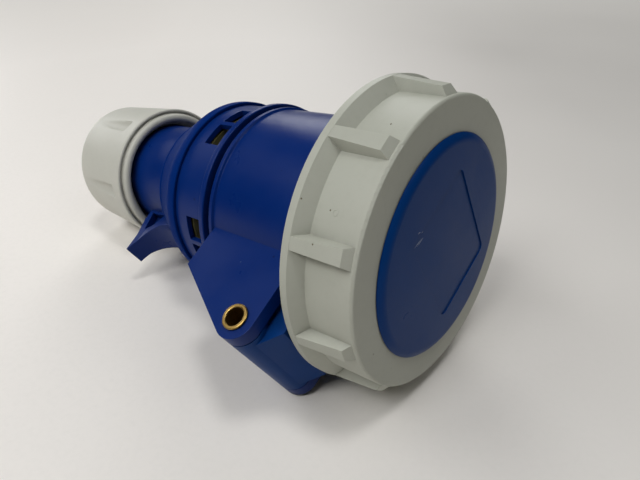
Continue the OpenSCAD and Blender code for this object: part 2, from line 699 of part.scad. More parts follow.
// Plan of the grip wing, seen along the hinge direction: narrow at the tip, flared to the sleeve
module wing_plan() polygon([[-wing_back, -wing_tip_w / 2], [-wing_tip_z - 2, -wing_tip_w / 2],
    [-z_sleeve_end + 1, -wing_foot_w / 2], [-z_sleeve_end + 1, wing_foot_w / 2],
    [-wing_tip_z - 2, wing_tip_w / 2], [-wing_back, wing_tip_w / 2]]);

// Side view of the three-cornered pocket in each flank of the wing
module wing_pocket_outline() polygon([[tube_r + band_step, wing_back + 2.4], [tube_r + 9, wing_back + 5],
    [tube_r + 6.4, wing_back + 10], [tube_r + band_step, wing_back + 14.5]]);

module grip_wing() difference() {
    intersection() {
        cross_plate(-wing_foot_w, wing_foot_w) wing_outline();
        rotate([0, 90, 0]) linear_extrude(wing_tip + 1) wing_plan();
    }
    cross_plate(wing_web / 2, wing_foot_w) wing_pocket_outline();
    cross_plate(-wing_foot_w, -wing_web / 2) wing_pocket_outline();
}

module rear_housing() color(housing_blue) lay_down() difference() {
    union() {
        difference() {
            union() {
                rear_outside();
                grip_wing();
            }
            rear_inside();
        }
        for (a = window_angles, side = [-1, 1])
            arc_band(sleeve_lug_r, sleeve_in + 1, sleeve_lug_z - sleeve_lug_h, sleeve_lug_z,
                side * a, lock_arc);
    }
    for (a = window_angles, side = [-1, 1], half = [-1, 1])
        arc_band(neck_r, front_rim_r + 1, z_window - window_l, z_window,
            side * a + half * (window_arc + window_bar) / 2, window_arc);
}

module gland_seal() color("#2b2b2b") lay_down() rotate_extrude() difference() {
    translate([seal_bore, z_seal_end]) square([seal_r - seal_bore, seal_l]);
    for (k = [1 : 3]) translate([seal_r, z_seal_end + k * seal_l / 4]) circle(1.2, $fn = 32);
}

module clamp_cage() color(light_grey) lay_down() difference() {
    rotate_extrude() polygon([[cable_hole + slip, z_cage], [nut_bore - 1.5, z_cage],
        [nut_bore - 1.5, z_cage + cage_base_t], [seal_r, z_cage + cage_base_t],
        [seal_r, z_cage + cage_base_t + finger_l], [seal_r - 2.6, z_cage + cage_base_t + finger_l],
        [seal_r - 3.4, z_cage + cage_base_t], [cable_hole + slip, z_cage + cage_base_t]]);
    for (i = [0 : finger_count - 1]) rotate([0, 0, i * 360 / finger_count])
        translate([0, -1, z_cage + cage_base_t]) cube([tube_r, 2, finger_l + 1]);
}

module thrust_ring() color("#d8d6c8") lay_down()
    band(cable_hole + slip, nut_bore - 1.5, z_thrust, z_thrust + thrust_t);

// Outside of the gland nut: a tapered barrel with a round rear edge and a beaded front edge
module nut_outside() {
    front = z_nut - 1.2;
    difference() {
        rotate_extrude() polygon([[0, front], [nut_r - 0.5, front], [nut_r, front - 0.5],
            [nut_rear_r, nut_round_z], [nut_round_r, nut_round_z], [nut_round_r, z_nut_end], [0, z_nut_end]]);
        rotate_extrude() translate([nut_bead_r + nut_bead + 0.2, front]) circle(0.5, $fn = 32);
    }
    rotate_extrude() translate([nut_round_r, z_nut_end]) intersection() {
        translate([0, nut_round]) circle(nut_round);
        square(nut_round);
    }
    rotate_extrude() translate([nut_bead_r, z_nut - nut_bead]) circle(nut_bead, $fn = 48);
}

// Round cutter for one flute: straight to the nut's rear end, sloped out at its front
module grip_flute() {
    translate([0, 0, -nut_l]) cylinder(r = flute_r, h = nut_l - flute_slope);
    translate([0, 0, -flute_slope]) cylinder(r1 = flute_r, r2 = flute_r - 1.5 * flute_depth, h = flute_slope);
}

module gland_nut() color(light_grey) lay_down() difference() {
    nut_outside();
    rotate_extrude() polygon([[0, z_nut + 1], [nut_mouth_r, z_nut + 1], [nut_mouth_r, z_nut - nut_bead],
        [nut_bore, z_nut - nut_bead - 2], [nut_bore, z_tube_end - 6], [nut_bore - 1, z_nut_wall],
        [cable_hole, z_nut_wall], [cable_hole, z_nut_end + 1], [cable_hole + 1, z_nut_end],
        [cable_hole + 1, z_nut_end - 1], [0, z_nut_end - 1]]);
    for (i = [0 : flute_count - 1]) rotate([0, 0, flute_phase + i * 360 / flute_count])
        translate([nut_r, 0, z_nut]) rotate([0, nut_taper, 0])
            translate([flute_r - flute_depth, 0, -flute_start]) grip_flute();
}

front_housing();
contact_insert();
insert_back();
insert_screw();
contact_line();
contact_neutral();
contact_earth();
contact_springs();
terminal_screws();
hinge_rivet();
hinge_spring();
housing_seal();
lid();
lid_seal();
bayonet_ring();
rear_housing();
gland_seal();
clamp_cage();
thrust_ring();
gland_nut();
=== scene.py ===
import json
import math

import bpy
from mathutils import Matrix, Vector
from mathutils.bvhtree import BVHTree


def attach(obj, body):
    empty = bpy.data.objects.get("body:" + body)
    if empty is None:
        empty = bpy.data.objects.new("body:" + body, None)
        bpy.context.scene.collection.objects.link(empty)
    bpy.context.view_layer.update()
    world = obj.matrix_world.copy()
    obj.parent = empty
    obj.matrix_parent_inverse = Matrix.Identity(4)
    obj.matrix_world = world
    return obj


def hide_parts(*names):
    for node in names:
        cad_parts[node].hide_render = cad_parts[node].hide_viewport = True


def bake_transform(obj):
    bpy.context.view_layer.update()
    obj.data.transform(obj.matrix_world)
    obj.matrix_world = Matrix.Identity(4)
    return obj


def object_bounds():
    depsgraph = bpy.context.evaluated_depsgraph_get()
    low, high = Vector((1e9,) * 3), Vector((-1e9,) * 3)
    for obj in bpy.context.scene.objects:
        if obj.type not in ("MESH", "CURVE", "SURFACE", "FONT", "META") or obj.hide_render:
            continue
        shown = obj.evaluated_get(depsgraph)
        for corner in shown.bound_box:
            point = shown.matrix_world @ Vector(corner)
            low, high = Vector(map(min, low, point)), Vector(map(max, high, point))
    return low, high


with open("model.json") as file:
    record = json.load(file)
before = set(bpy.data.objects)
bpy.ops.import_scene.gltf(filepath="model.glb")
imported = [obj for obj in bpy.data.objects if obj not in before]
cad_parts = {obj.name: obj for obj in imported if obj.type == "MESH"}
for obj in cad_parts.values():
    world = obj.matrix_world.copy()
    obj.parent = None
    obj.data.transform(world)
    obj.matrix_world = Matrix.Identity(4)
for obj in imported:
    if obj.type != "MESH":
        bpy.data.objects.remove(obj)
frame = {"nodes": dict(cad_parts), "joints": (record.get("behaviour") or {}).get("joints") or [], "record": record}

MM = 0.001
TURN = 2 * math.pi
cad_low, cad_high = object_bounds()
nodes = frame["nodes"]
scene = bpy.context.scene

# The coupler's own frame: X to the hinge, Y along its pin, Z along the axis, out of the mouth
mouth = next(m for m in frame["record"]["mounts"] if m["name"] == "plug_mouth")
hinge = next(j for j in frame["joints"] if j["name"] == "lid_hinge")
axis = Vector(mouth["axis"]).normalized()
pin = Vector(hinge["axis"]).normalized()
radial = pin.cross(axis).normalized()
LAY = Matrix((radial, pin, axis)).transposed()


def row(x, y, z):
    """A point in the coupler's own frame, in mm, as a point in the row frame."""
    return LAY @ Vector((x, y, z)) * MM


# Camera: focal length, principal point and picture in pixels, sensor in mm, clipping in m
FOCAL_PX = 500
CENTRE_PX = (302, 285)
IMAGE_PX = (640, 480)
SENSOR = 36
CLIP_START = 0.005
CLIP_END = 20
# Fitted to the photograph, X right, Y down, Z ahead: the ring's front face in mm, the axis and the hinge
RING_FRONT = 9
VIEW_CENTRE = Vector((42.796, -10.552, 152.484))
VIEW_AXIS = Vector((0.73537, 0.29716, -0.60903)).normalized()
VIEW_HINGE = Vector((-0.535, 0.806, -0.253))


def make_camera():
    """Sets up the camera; gives its place and its directions to the right, up and ahead."""
    to_hinge = (VIEW_HINGE - VIEW_HINGE.dot(VIEW_AXIS) * VIEW_AXIS).normalized()
    view = Matrix((to_hinge, VIEW_AXIS.cross(to_hinge), VIEW_AXIS)).transposed()
    spot = LAY @ (Vector((0, 0, RING_FRONT)) - view.transposed() @ VIEW_CENTRE) * MM
    right, down, ahead = (Vector(way) for way in view @ LAY.transposed())
    data = bpy.data.cameras.new("camera")
    data.sensor_width = SENSOR
    data.lens = FOCAL_PX / IMAGE_PX[0] * SENSOR
    data.shift_x = (IMAGE_PX[0] / 2 - CENTRE_PX[0]) / IMAGE_PX[0]
    data.shift_y = (CENTRE_PX[1] - IMAGE_PX[1] / 2) / IMAGE_PX[0]
    data.clip_start = CLIP_START
    data.clip_end = CLIP_END
    camera = bpy.data.objects.new("camera", data)
    scene.collection.objects.link(camera)
    camera.matrix_world = Matrix.Translation(spot) @ Matrix((right, -down, -ahead)).transposed().to_4x4()
    scene.camera = camera
    return spot, right, -down, ahead


view_spot, view_right, view_up, view_ahead = make_camera()
floor_left = -Vector((view_right.x, view_right.y, 0)).normalized()
floor_back = Vector((view_ahead.x, view_ahead.y, 0)).normalized()

# Sockets of the Mix node that belong to colours; their names are shared with its other kinds
MIX_SHARE, MIX_A, MIX_B, MIX_RESULT = 0, 6, 7, 2
# Samples of the bevel and occlusion nodes, and the ranges over which an edge and a corner begin to show
EDGE_SAMPLES = 4
EDGE_RANGE = (0.86, 0.99)
CORNER_SAMPLES = 6
CORNER_RANGE = (0.45, 0.9)


class Shader:
    """A node material with short calls for its nodes and links."""

    def __init__(self, name):
        self.material = bpy.data.materials.new(name)
        self.material.use_nodes = True
        self.tree = self.material.node_tree
        self.tree.nodes.clear()
        self.out = self.tree.nodes.new("ShaderNodeOutputMaterial")
        self.bsdf = self.tree.nodes.new("ShaderNodeBsdfPrincipled")
        self.tree.links.new(self.bsdf.outputs[0], self.out.inputs["Surface"])
        self.coords = self.tree.nodes.new("ShaderNodeTexCoord").outputs["Object"]

    def put(self, socket, value):
        """Links a socket to another, or sets its constant value."""
        if isinstance(value, bpy.types.NodeSocket):
            self.tree.links.new(value, socket)
        else:
            socket.default_value = value

    def add(self, kind, inputs=(), **settings):
        node = self.tree.nodes.new("ShaderNode" + kind)
        for key, value in settings.items():
            setattr(node, key, value)
        for key, value in dict(inputs).items():
            self.put(node.inputs[key], value)
        return node

    def set(self, key, value):
        self.put(self.bsdf.inputs[key], value)

    def noise(self, scale, detail, rough):
        """Noise with so many waves per m."""
        inputs = {"Vector": self.coords, "Scale": scale, "Detail": detail, "Roughness": rough}
        return self.add("TexNoise", inputs).outputs["Fac"]

    def ramp(self, value, low, high, to_low=0.0, to_high=1.0):
        inputs = {"Value": value, "From Min": low, "From Max": high, "To Min": to_low, "To Max": to_high}
        return self.add("MapRange", inputs).outputs[0]

    def pattern(self, scale, detail, rough, low, high, to_low=0.0, to_high=1.0):
        """Noise, spread from low and high to the two values given."""
        return self.ramp(self.noise(scale, detail, rough), low, high, to_low, to_high)

    def math(self, operation, a, b):
        return self.add("Math", {0: a, 1: b}, operation=operation).outputs[0]

    def times(self, a, b):
        return self.math("MULTIPLY", a, b)

    def mix(self, share, a, b):
        node = self.add("Mix", {MIX_SHARE: share, MIX_A: a, MIX_B: b}, data_type="RGBA")
        return node.outputs[MIX_RESULT]

    def vector(self, operation, a, b):
        """A number worked out from two vectors."""
        return self.add("VectorMath", {0: a, 1: b}, operation=operation).outputs["Value"]

    def edges(self, radius):
        """1 on edges and corners within the radius, 0 on flat ground."""
        soft = self.add("Bevel", {"Radius": radius}, samples=EDGE_SAMPLES).outputs[0]
        flat = self.add("NewGeometry").outputs["Normal"]
        return self.ramp(self.vector("DOT_PRODUCT", soft, flat), *EDGE_RANGE, 1.0, 0.0)

    def hollows(self, distance):
        """1 deep in corners, 0 in the open, from ambient occlusion: the mask of painted corner shade."""
        clear = self.add("AmbientOcclusion", {"Distance": distance}, samples=CORNER_SAMPLES).outputs["AO"]
        return self.ramp(clear, *CORNER_RANGE, 1.0, 0.0)

    def bump(self, heights, distance):
        """Bump from a list of (height, strength), chained."""
        normal = None
        for height, strength in heights:
            inputs = {"Height": height, "Strength": strength, "Distance": distance}
            if normal:
                inputs["Normal"] = normal
            normal = self.add("Bump", inputs).outputs[0]
        self.set("Normal", normal)


def rgb(*levels):
    """An sRGB colour, 0 to 255, as a linear colour."""
    shares = [level / 255 for level in levels]
    return tuple(c / 12.92 if c <= 0.04045 else ((c + 0.055) / 1.055) ** 2.4 for c in shares) + (1,)


# Patterns: waves per m, detail, roughness, the range that fades in and what its two ends give, if not 0 and 1
PLASTIC_CLOUDS = (28, 3, 0.5, 0.35, 0.65)
PLASTIC_FINE = (420, 3, 0.6, 0.5, 0.75, 0.0, 0.12)
PLASTIC_RUBBED = (240, 3, 0.7, 0.42, 0.62, 0.2, 1.0)
PLASTIC_SMEARS = (160, 4, 0.65, 0.3, 0.7, 0.25, 1.0)
PLASTIC_SPECKED = (90, 2, 0.5, 0.6, 0.66)
PLASTIC_SHEEN = (60, 4, 0.6, 0.3, 0.7)
PLASTIC_GRAIN = (2600, 2, 0.5)
METAL_PATCHES = (380, 4, 0.65, 0.35, 0.7)
METAL_GRAIN = (1900, 3, 0.6)
RUBBER_CLOUDS = (120, 4, 0.6, 0.4, 0.7)
RUBBER_PORES = (1500, 3, 0.6)
# Shares of the second colour where a pattern shows in full, and the colour of a metal's dirt and painted corner
# shade
CLOUD_SHARE = 0.35
WEAR_SHARE = 0.25
GRIME_AND_SHADE_SHARE = 0.55
SPECK_SHARE = 0.5
TARNISH_SHARE = 0.6
METAL_DIRT_AND_SHADE_SHARE = 0.8
BLOOM_SHARE = 0.4
METAL_DIRT_AND_SHADE = rgb(28, 22, 12)
# Reaches of worn edges and of corners darkened with grime and painted shade, in m
WORN_EDGE = 0.0007
SHADED_CORNER = 0.004
METAL_CORNER = 0.002
# Specks: cells per m, and the distances from a cell's centre between which a speck ends
SPECK_CELLS = 170.0
SPECK_RIM = (0.05, 0.09)
# Roughness: how far it strays on plastic, what dirt adds, what tarnish adds, and a rubber's range; then gloss
SHINIER, DULLER = 0.06, 0.07
DIRT_ROUGHNESS = 0.15
TARNISH_ROUGHNESS = 0.2
RUBBER_ROUGHNESS = (0.6, 0.8)
PLASTIC_GLOSS = 0.3
RUBBER_GLOSS = 0.3
# Bump strengths, and bump distances in m
GRAIN_BUMP, CLOUD_BUMP, PLASTIC_RELIEF = 0.12, 0.05, 0.00012
METAL_BUMP, METAL_RELIEF = 0.15, 0.0001
PORE_BUMP, RUBBER_RELIEF = 0.25, 0.0002


def plastic(name, base, light, dark, grime_and_shade, rough, gloss=PLASTIC_GLOSS):
    """Moulded plastic: fine grain, faint flow clouds, rubbed edges, grime and painted shade in the corners, and a
    few specks.
    """
    s = Shader(name)
    clouds = s.pattern(*PLASTIC_CLOUDS)
    colour = s.mix(s.times(clouds, CLOUD_SHARE), base, light)
    colour = s.mix(s.pattern(*PLASTIC_FINE), colour, dark)
    rubbed = s.times(s.edges(WORN_EDGE), s.pattern(*PLASTIC_RUBBED))
    colour = s.mix(s.times(rubbed, WEAR_SHARE), colour, light)
    # Corners darkened by occlusion: painted shade, smeared like grime
    grime_and_shade_smears = s.times(s.hollows(SHADED_CORNER), s.pattern(*PLASTIC_SMEARS))
    colour = s.mix(s.times(grime_and_shade_smears, GRIME_AND_SHADE_SHARE), colour, grime_and_shade)
    cells = s.add("TexVoronoi", {"Vector": s.coords, "Scale": SPECK_CELLS}, feature="F1").outputs["Distance"]
    specks = s.times(s.ramp(cells, *SPECK_RIM, 1.0, 0.0), s.pattern(*PLASTIC_SPECKED))
    colour = s.mix(s.times(specks, SPECK_SHARE), colour, grime_and_shade)
    s.set("Base Color", colour)
    sheen = s.pattern(*PLASTIC_SHEEN, rough - SHINIER, rough + DULLER)
    s.set("Roughness", s.math("ADD", sheen, s.times(grime_and_shade_smears, DIRT_ROUGHNESS)))
    s.set("Specular IOR Level", gloss)
    s.bump([(s.noise(*PLASTIC_GRAIN), GRAIN_BUMP), (clouds, CLOUD_BUMP)], PLASTIC_RELIEF)
    return s.material


def metal(name, base, tarnish, rough):
    """Turned or plated metal with dull patches, and dirt and painted shade in the corners."""
    s = Shader(name)
    patches = s.pattern(*METAL_PATCHES)
    colour = s.mix(s.times(patches, TARNISH_SHARE), base, tarnish)
    # Corners darkened by occlusion: painted shade, tinted like dirt
    colour = s.mix(s.times(s.hollows(METAL_CORNER), METAL_DIRT_AND_SHADE_SHARE), colour, METAL_DIRT_AND_SHADE)
    s.set("Base Color", colour)
    s.set("Metallic", 1.0)
    s.set("Roughness", s.ramp(patches, 0, 1, rough, rough + TARNISH_ROUGHNESS))
    s.bump([(s.noise(*METAL_GRAIN), METAL_BUMP)], METAL_RELIEF)
    return s.material


def rubber(name, base, bloom):
    """Matte rubber with a pale bloom and fine pores."""
    s = Shader(name)
    clouds = s.pattern(*RUBBER_CLOUDS)
    s.set("Base Color", s.mix(s.times(clouds, BLOOM_SHARE), base, bloom))
    s.set("Roughness", s.ramp(clouds, 0, 1, *RUBBER_ROUGHNESS))
    s.set("Specular IOR Level", RUBBER_GLOSS)
    s.bump([(s.noise(*RUBBER_PORES), PORE_BUMP)], RUBBER_RELIEF)
    return s.material


# Colours of a plastic: its own, where it is pale, where it is dark, and its grime, which also paints shade into
# its corners
GRIME_AND_SHADE = rgb(72, 66, 54)
NUT_GRIME_AND_SHADE = rgb(98, 93, 82)
INSERT_GRIME_AND_SHADE = rgb(20, 20, 20)
LID_GRIME_AND_SHADE = rgb(4, 32, 80)
DIRT_GRIME_AND_SHADE = rgb(50, 44, 36)
NAVY = rgb(6, 12, 30)
BLUE_PALE = rgb(6, 45, 114)
BLUE_DARK = rgb(2, 30, 90)
blue = plastic("blue_plastic", rgb(2, 37, 104), BLUE_PALE, BLUE_DARK, NAVY, rough=0.33, gloss=0.14)
cone_blue = plastic("cone_plastic", rgb(2, 38, 105), BLUE_PALE, BLUE_DARK, NAVY, rough=0.4, gloss=0.012)
lid_blue = plastic("lid_plastic", rgb(4, 52, 113), rgb(9, 60, 123), rgb(3, 43, 97), LID_GRIME_AND_SHADE,
                   rough=0.33, gloss=0.076)
grey = plastic("ring_plastic", rgb(178, 180, 168), rgb(194, 195, 184), rgb(158, 159, 146), GRIME_AND_SHADE, rough=0.5)
nut_grey = plastic("nut_plastic", rgb(196, 196, 186), rgb(208, 207, 198), rgb(178, 178, 167), NUT_GRIME_AND_SHADE,
                   rough=0.45)
white = plastic("washer_plastic", rgb(214, 212, 200), rgb(226, 224, 214), rgb(196, 194, 182), GRIME_AND_SHADE,
                rough=0.45)
insert_black = plastic("insert_plastic", rgb(52, 54, 58), rgb(74, 76, 80), rgb(38, 39, 43), INSERT_GRIME_AND_SHADE,
                       rough=0.48)
# Scratch colour: the scratches are real burrs, and their pale colour is a painted glint
pale = plastic("scuffed_glint_plastic", rgb(176, 186, 204), rgb(206, 212, 222), rgb(120, 136, 170), NAVY, rough=0.6)
worn = plastic("worn_plastic", rgb(48, 72, 120), rgb(60, 86, 134), rgb(34, 58, 108), NAVY, rough=0.6)
dirt = plastic("dirt", rgb(104, 96, 80), rgb(132, 124, 106), rgb(70, 62, 50), DIRT_GRIME_AND_SHADE, rough=0.8, gloss=0.1)
brass = metal("brass", rgb(196, 164, 96), rgb(120, 92, 46), rough=0.28)
steel = metal("steel", rgb(190, 192, 194), rgb(128, 128, 126), rough=0.3)
olive = rubber("olive_rubber", rgb(92, 88, 50), rgb(132, 126, 92))
black = rubber("black_rubber", rgb(30, 30, 30), rgb(66, 66, 64))

FINISH = {
    "front_housing": blue, "rear_housing": blue, "lid": lid_blue, "bayonet_ring": grey, "gland_nut": nut_grey,
    "clamp_cage": nut_grey, "thrust_ring": white, "contact_insert": insert_black, "insert_back": insert_black,
    "contact_line": brass, "contact_neutral": brass, "contact_earth": brass, "hinge_rivet": brass,
    "insert_screw": steel, "contact_springs": steel, "terminal_screws": steel, "hinge_spring": steel,
    "housing_seal": olive, "lid_seal": black, "gland_seal": black,
}
# Rounding of the moulded pieces' edges: its width in mm, its segments and the least angle of an edge
EDGE = {"front_housing": 0.4, "rear_housing": 0.35, "lid": 0.3, "bayonet_ring": 0.35, "gland_nut": 0.4,
        "clamp_cage": 0.2, "contact_insert": 0.3, "insert_back": 0.3}
EDGE_SEGMENTS = 2
EDGE_FROM = math.radians(35)
WELD_REACH = 2e-6


def dress(name, material):
    """Gives a CAD node its material and, where it is moulded, its soft edges."""
    node = nodes[name]
    node.data.materials.clear()
    node.data.materials.append(material)
    if name in EDGE:
        node.modifiers.new("weld", "WELD").merge_threshold = WELD_REACH
        bevel = node.modifiers.new("edges", "BEVEL")
        bevel.width = EDGE[name] * MM
        bevel.segments = EDGE_SEGMENTS
        bevel.limit_method = "ANGLE"
        bevel.angle_limit = EDGE_FROM
        bevel.harden_normals = False
        node.modifiers.new("normals", "WEIGHTED_NORMAL").keep_sharp = True


for node_name, finish in FINISH.items():
    dress(node_name, finish)


def sight(pixel):
    """Direction of the camera's ray through a pixel."""
    across = (pixel[0] - CENTRE_PX[0]) / FOCAL_PX
    below = (pixel[1] - CENTRE_PX[1]) / FOCAL_PX
    return (view_ahead + across * view_right - below * view_up).normalized()


def spot_on(name, pixel):
    """Point of a node's surface that shows at a pixel, with its outward normal."""
    mesh = nodes[name].data
    tree = BVHTree.FromPolygons([v.co for v in mesh.vertices], [p.vertices for p in mesh.polygons])
    ray = sight(pixel)
    point, normal, _, _ = tree.ray_cast(view_spot, ray)
    return point, normal if normal.dot(ray) < 0 else -normal


def patch_on(name, pixel):
    """As spot_on, with two directions along the surface."""
    point, normal = spot_on(name, pixel)
    across = normal.orthogonal().normalized()
    return point, normal, across, normal.cross(across)


def around(turn, across, up):
    """Direction at an angle in the plane of two directions."""
    return math.cos(turn) * across + math.sin(turn) * up


# A stroke's foot lies below the surface by a share of its height; its section has three points
STROKE_ROOT = 1 / 3
STROKE_SIDES = 3
# A fleck's rings of points: share of its radius and share of its height; its lobes: how many and how far
FLECK_RINGS = ((0.6, 0.75), (1.0, 0.1), (1.0, -0.4))
FLECK_LOBES_A, FLECK_LOBES_B = (3, 0.22), (5, 0.15)
# Height of a rim mark's section against its width
RIM_FLATNESS = 0.6


def stroke(name, start, end, width, height, steps=12):
    """A fine burr between two pixels, run out at both ends: its points and faces."""
    hits = []
    for i in range(steps + 1):
        share = i / steps
        hits.append(spot_on(name, [a + share * (b - a) for a, b in zip(start, end)]))
    points = []
    for i, (point, normal) in enumerate(hits):
        ahead = (hits[min(i + 1, steps)][0] - hits[max(i - 1, 0)][0]).normalized()
        side = normal.cross(ahead) * width / 2
        swell = math.sin(math.pi * (i + 0.5) / (steps + 1))
        foot = point - normal * height * STROKE_ROOT
        points += [foot - side * swell, point + normal * height * swell, foot + side * swell]
    n = STROKE_SIDES
    faces = [(2, 1, 0), (n * steps, n * steps + 1, n * steps + 2)]
    for a in range(0, n * steps, n):
        faces += [(a + k, a + (k + 1) % n, a + n + (k + 1) % n, a + n + k) for k in range(n)]
    return points, faces


def fleck(name, pixel, radius, height, rim=10):
    """A small ragged grain stuck to a surface: its points and faces."""
    point, normal, across, up = patch_on(name, pixel)
    (count_a, depth_a), (count_b, depth_b) = FLECK_LOBES_A, FLECK_LOBES_B
    points = [point + normal * height]
    for share, lift in FLECK_RINGS:
        for k in range(rim):
            turn = TURN * k / rim
            ragged = 1 + depth_a * math.sin(count_a * turn + pixel[0])
            ragged += depth_b * math.sin(count_b * turn + pixel[1])
            points.append(point + radius * share * ragged * around(turn, across, up) + normal * height * lift)
    faces = [(0, 1 + k, 1 + (k + 1) % rim) for k in range(rim)]
    for a in (1, 1 + rim):
        faces += [(a + k, a + rim + k, a + rim + (k + 1) % rim, a + (k + 1) % rim) for k in range(rim)]
    faces.append(tuple(range(3 * rim, 2 * rim, -1)))
    return points, faces


def rim_mark(name, pixel, radius, wire, turns=32, sides=8):
    """A low round rim, as an ejector pin leaves it: its points and faces."""
    point, normal, across, up = patch_on(name, pixel)
    points = []
    for i in range(turns):
        out = around(TURN * i / turns, across, up)
        for k in range(sides):
            roll = TURN * k / sides
            lift = RIM_FLATNESS * wire * math.sin(roll)
            points.append(point + (radius + wire * math.cos(roll)) * out + lift * normal)
    faces = []
    for i in range(turns):
        a, b = i * sides, (i + 1) % turns * sides
        faces += [(a + k, b + k, b + (k + 1) % sides, a + (k + 1) % sides) for k in range(sides)]
    return points, faces


# Least angle between faces at which a new piece's edge shows
SHARP_FROM = math.radians(40)


def piece(name, shapes, material, body):
    """One piece made of several shapes, which rides on a body."""
    points, faces = [], []
    for shape_points, shape_faces in shapes:
        faces += [tuple(len(points) + i for i in face) for face in shape_faces]
        points += shape_points
    mesh = bpy.data.meshes.new(name)
    mesh.from_pydata([tuple(p) for p in points], [], faces)
    mesh.materials.append(material)
    mesh.shade_smooth()
    mesh.set_sharp_from_angle(angle=SHARP_FROM)
    obj = bpy.data.objects.new(name, mesh)
    scene.collection.objects.link(obj)
    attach(obj, body)
    return obj


def lathe(profile, steps, trim=None):
    """A closed profile of (radius, z) in mm turned about the axis: its points and faces."""
    points = []
    for i in range(steps):
        turn = TURN * i / steps
        for radius, z in profile:
            reach = trim(radius, z, turn) if trim else radius
            points.append(row(reach * math.cos(turn), reach * math.sin(turn), z))
    count = len(profile)
    faces = []
    for i in range(steps):
        a, b = i * count, (i + 1) % steps * count
        faces += [(a + k, a + (k + 1) % count, b + (k + 1) % count, b + k) for k in range(count)]
    return points, faces


def arc(centre, radius, start, end, steps):
    """Points of a round corner in a profile, from one angle to another, in degrees."""
    turns = [math.radians(start + (end - start) * i / steps) for i in range(steps + 1)]
    return [(centre[0] + radius * math.cos(t), centre[1] + radius * math.sin(t)) for t in turns]


def line(start, end, steps):
    """Points between two points of a profile, both left out."""
    return [tuple(a + (b - a) * i / steps for a, b in zip(start, end)) for i in range(1, steps)]


# Gland nut, in mm: its solid's form, with flutes that run out before the rear and a soft groove by the bead.
# Points are (radius, z), from the bead over the outside to the rear and back through the inside
NUT_STEPS = 360
NUT_BEAD, NUT_BEAD_ROUND = (26.3, -128.7), 1.65
NUT_GROOVE = [(27.97, -129.4), (28.05, -129.9), (28.25, -130.15), (28.55, -130.2), (28.8, -130.1)]
NUT_CORNER, NUT_CORNER_ROUND = (29.23, -130.3), 0.7
NUT_SHOULDER = (29.93, -130.3)
NUT_SLOWER = (29.6, -135.8)
NUT_FLUTED = (29.3, -141.0)
NUT_REAR = (27.9, -166.0)
NUT_END, NUT_END_ROUND = (20.9, -166.0), 7.0
NUT_ENTRY = [(14.0, -173.0), (13.0, -172.0), (13.0, -167.2)]
NUT_INSIDE = [(22.1, -167.2), (23.1, -155.6), (23.1, -130.9), (24.65, -129.2)]
nut_profile = (
    arc(NUT_BEAD, NUT_BEAD_ROUND, 180, 0, steps=16) + NUT_GROOVE
    + arc(NUT_CORNER, NUT_CORNER_ROUND, 120, 0, steps=7)
    + line(NUT_SHOULDER, NUT_SLOWER, steps=4) + [NUT_SLOWER]
    + line(NUT_SLOWER, NUT_FLUTED, steps=14) + [NUT_FLUTED]
    + line(NUT_FLUTED, NUT_REAR, steps=24) + arc(NUT_END, NUT_END_ROUND, 0, -90, steps=14)
    + NUT_ENTRY + NUT_INSIDE
)
# Flutes: where they start, the floor's radius there and its slope, its round, and the closed end in front
FLUTES = 6
FLUTE_PHASE = math.radians(28)
FLUTE_FRONT = -136.2
FLUTE_FLOOR = 27.2
FLUTE_SLOPE = 0.035
FLUTE_ROUND = 3.3
FLUTE_END = 1.8
FLUTE_END_RISE = 2.7
FLUTE_LEAST = FLUTE_FLOOR - 1
EDGE_SOFTNESS = 0.2


def fluted(radius, z, turn):
    """The nut's radius with its flutes scooped out of the outer wall."""
    behind = FLUTE_FRONT - z
    if radius < FLUTE_LEAST or behind < 0:
        return radius
    pitch = TURN / FLUTES
    across = radius * ((turn - FLUTE_PHASE + pitch / 2) % pitch - pitch / 2)
    if abs(across) > FLUTE_ROUND:
        return radius
    floor = FLUTE_FLOOR + FLUTE_SLOPE * behind + FLUTE_ROUND - math.sqrt(FLUTE_ROUND ** 2 - across ** 2)
    floor += FLUTE_END_RISE * max(0, 1 - behind / FLUTE_END) ** 2
    return (radius + floor - math.hypot(radius - floor, EDGE_SOFTNESS)) / 2


nut = piece("fluted_nut", [lathe(nut_profile, NUT_STEPS, fluted)], nut_grey, "nut_body")
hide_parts("gland_nut")

# Collar over the rear housing's cone, in mm: from the groove behind the sleeve down to the cable tube
COLLAR_STEPS = 180
COLLAR_FRONT = [(35.0, -79.2), (36.05, -79.2)]
COLLAR_LIP, COLLAR_LIP_ROUND = (36.05, -79.6), 0.4
COLLAR_BAND = [(36.45, -81.6), (36.42, -82.3), (36.32, -83.0), (36.1, -83.8)]
COLLAR_FOOT = (28.0, -100.2)
COLLAR_TOE, COLLAR_TOE_ROUND = (26.65, -100.9), 1.2
COLLAR_INSIDE = [(22.6, -103.4), (22.4, -98.0), (32.0, -83.2), (34.0, -82.0), (34.0, -79.4)]
collar_profile = (
    COLLAR_FRONT + arc(COLLAR_LIP, COLLAR_LIP_ROUND, 90, 0, steps=4) + COLLAR_BAND
    + line(COLLAR_BAND[-1], COLLAR_FOOT, steps=12) + arc(COLLAR_TOE, COLLAR_TOE_ROUND, 26, -60, steps=5)
    + COLLAR_INSIDE
)
piece("cone_collar", [lathe(collar_profile, COLLAR_STEPS)], cone_blue, "rear_body")

# Lid spring: its solid's own form, one leg on the housing and one on the lid, the turns winding between them
spring = bpy.data.objects.new("winding_spring", nodes["hinge_spring"].data.copy())
scene.collection.objects.link(spring)
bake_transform(spring)
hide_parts("hinge_spring")

